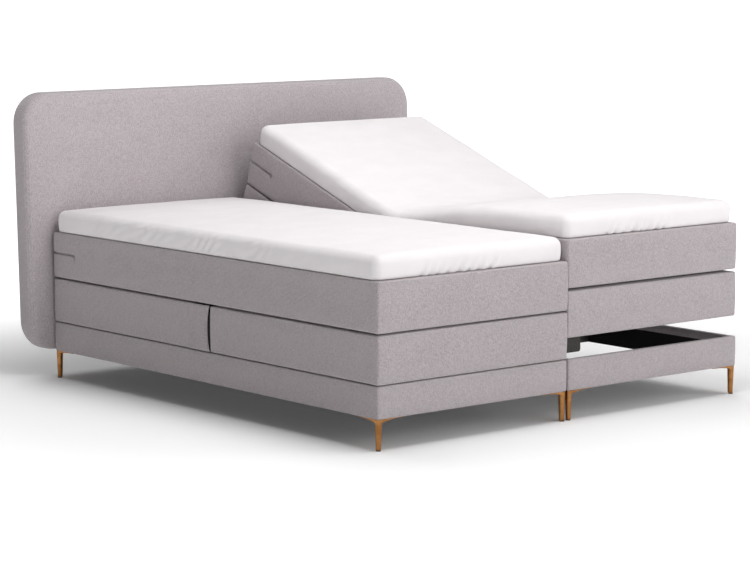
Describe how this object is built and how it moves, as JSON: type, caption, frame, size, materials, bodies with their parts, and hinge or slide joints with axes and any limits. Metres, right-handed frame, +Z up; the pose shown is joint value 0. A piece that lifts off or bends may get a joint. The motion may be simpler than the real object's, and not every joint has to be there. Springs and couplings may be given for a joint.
{
  "type": "adjustable bed base",
  "caption": "Continental double bed with two motorised adjustable box-spring bases, upper mattresses, toppers, slim metal legs and an upholstered headboard.",
  "frame": {"origin": "on the floor, at the middle of the outline seen from above", "axes": "+Z up, +Y towards the headboard, +X towards the side of the bed that is drawn lifted"},
  "size_m": [2, 2.1318, 1.1344],
  "materials": {
    "fabric": "matte",
    "sheet": "matte",
    "copper": "satin",
    "black_plastic": "matte",
    "pale_plastic": "satin",
    "dark_steel": "satin",
    "board": "matte",
    "rail_wood": "matte",
    "foam": "matte"
  },
  "bodies": {
    "base": {"legs": "copper", "glides": "black_plastic", "bed_connector": "dark_steel", "headboard_board": "board", "headboard_cover": "fabric", "headboard_brackets": "dark_steel", "base_frame_left": "board", "base_cover_left": "fabric", "chassis_left": "dark_steel", "drive_housing_left": "black_plastic", "drive_motors_left": "black_plastic", "seat_box_left": "board", "hinge_flap_left": "fabric", "mattress_hip_left": "fabric", "topper_hip_left": "sheet", "base_frame_right": "board", "base_cover_right": "fabric", "chassis_right": "dark_steel", "drive_housing_right": "black_plastic", "drive_motors_right": "black_plastic", "seat_box_right": "board", "hinge_flap_right": "fabric", "mattress_hip_right": "fabric", "topper_hip_right": "sheet"},
    "back_left": {"back_frame_left": "rail_wood", "back_core_left": "foam", "back_cover_left": "fabric", "mattress_back_left": "fabric", "topper_back_left": "sheet"},
    "thigh_left": {"thigh_frame_left": "rail_wood", "thigh_core_left": "foam", "thigh_cover_left": "fabric", "mattress_thigh_left": "fabric", "topper_thigh_left": "sheet"},
    "calf_left": {"calf_frame_left": "rail_wood", "calf_core_left": "foam", "calf_cover_left": "fabric", "mattress_calf_left": "fabric", "topper_calf_left": "sheet"},
    "links_left": {"level_links_left": "dark_steel"},
    "back_push_left": {"back_slider_left": "pale_plastic"},
    "leg_push_left": {"leg_slider_left": "pale_plastic"},
    "back_right": {"back_frame_right": "rail_wood", "back_core_right": "foam", "back_cover_right": "fabric", "mattress_back_right": "fabric", "topper_back_right": "sheet"},
    "thigh_right": {"thigh_frame_right": "rail_wood", "thigh_core_right": "foam", "thigh_cover_right": "fabric", "mattress_thigh_right": "fabric", "topper_thigh_right": "sheet"},
    "calf_right": {"calf_frame_right": "rail_wood", "calf_core_right": "foam", "calf_cover_right": "fabric", "mattress_calf_right": "fabric", "topper_calf_right": "sheet"},
    "links_right": {"level_links_right": "dark_steel"},
    "back_push_right": {"back_slider_right": "pale_plastic"},
    "leg_push_right": {"leg_slider_right": "pale_plastic"}
  },
  "joints": [
    {"name": "back_lift_left", "type": "hinge", "parent": "base", "child": "back_left", "pos_m": [-0.451, -0.02086, 0.349], "axis": [1, 0, 0], "range_deg": [0, 60], "deforming": ["mattress_hip_left", "topper_hip_left", "hinge_flap_left"]},
    {"name": "leg_lift_left", "type": "hinge", "parent": "base", "child": "thigh_left", "pos_m": [-0.451, -0.09586, 0.349], "axis": [-1, 0, 0], "range_deg": [0, 30], "deforming": ["mattress_hip_left", "topper_hip_left", "hinge_flap_left"]},
    {"name": "knee_left", "type": "hinge", "parent": "thigh_left", "child": "calf_left", "pos_m": [-0.451, -0.52586, 0.349], "axis": [-1, 0, 0], "range_deg": [-30.1, 0.1]},
    {"name": "level_link_left", "type": "hinge", "parent": "base", "child": "links_left", "pos_m": [-0.451, -0.21586, 0.18], "axis": [-1, 0, 0], "range_deg": [-0.1, 30.1]},
    {"name": "back_push_left", "type": "slide", "parent": "base", "child": "back_push_left", "axis": [0, 1, 0], "range_m": [-0.0002, 0.1552]},
    {"name": "leg_push_left", "type": "slide", "parent": "base", "child": "leg_push_left", "axis": [0, -1, 0], "range_m": [-0.0002, 0.08043]},
    {"name": "back_lift_right", "type": "hinge", "parent": "base", "child": "back_right", "pos_m": [0.451, -0.02086, 0.349], "axis": [1, 0, 0], "range_deg": [-20.3, 39.7], "deforming": ["mattress_hip_right", "topper_hip_right", "hinge_flap_right"]},
    {"name": "leg_lift_right", "type": "hinge", "parent": "base", "child": "thigh_right", "pos_m": [0.451, -0.09586, 0.349], "axis": [-1, 0, 0], "range_deg": [-10, 20], "deforming": ["mattress_hip_right", "topper_hip_right", "hinge_flap_right"]},
    {"name": "knee_right", "type": "hinge", "parent": "thigh_right", "child": "calf_right", "pos_m": [0.451, -0.51933, 0.42367], "axis": [-1, 0, 0], "range_deg": [-20.1, 10.1]},
    {"name": "level_link_right", "type": "hinge", "parent": "base", "child": "links_right", "pos_m": [0.451, -0.21586, 0.18], "axis": [-1, 0, 0], "range_deg": [-10.1, 20.1]},
    {"name": "back_push_right", "type": "slide", "parent": "base", "child": "back_push_right", "axis": [0, 1, 0], "range_m": [-0.05264, 0.10276]},
    {"name": "leg_push_right", "type": "slide", "parent": "base", "child": "leg_push_right", "axis": [0, -1, 0], "range_m": [-0.02694, 0.05369]}
  ],
  "couplings": [
    {"joint": "knee_left", "follows": "leg_lift_left", "ratio": -1},
    {"joint": "level_link_left", "follows": "leg_lift_left", "ratio": 1},
    {"joint": "back_push_left", "follows": "back_lift_left", "m_per_rad": 0.14801},
    {"joint": "leg_push_left", "follows": "leg_lift_left", "m_per_rad": 0.15324},
    {"joint": "knee_right", "follows": "leg_lift_right", "ratio": -1},
    {"joint": "level_link_right", "follows": "leg_lift_right", "ratio": 1},
    {"joint": "back_push_right", "follows": "back_lift_right", "m_per_rad": 0.14801},
    {"joint": "leg_push_right", "follows": "leg_lift_right", "m_per_rad": 0.15324}
  ]
}
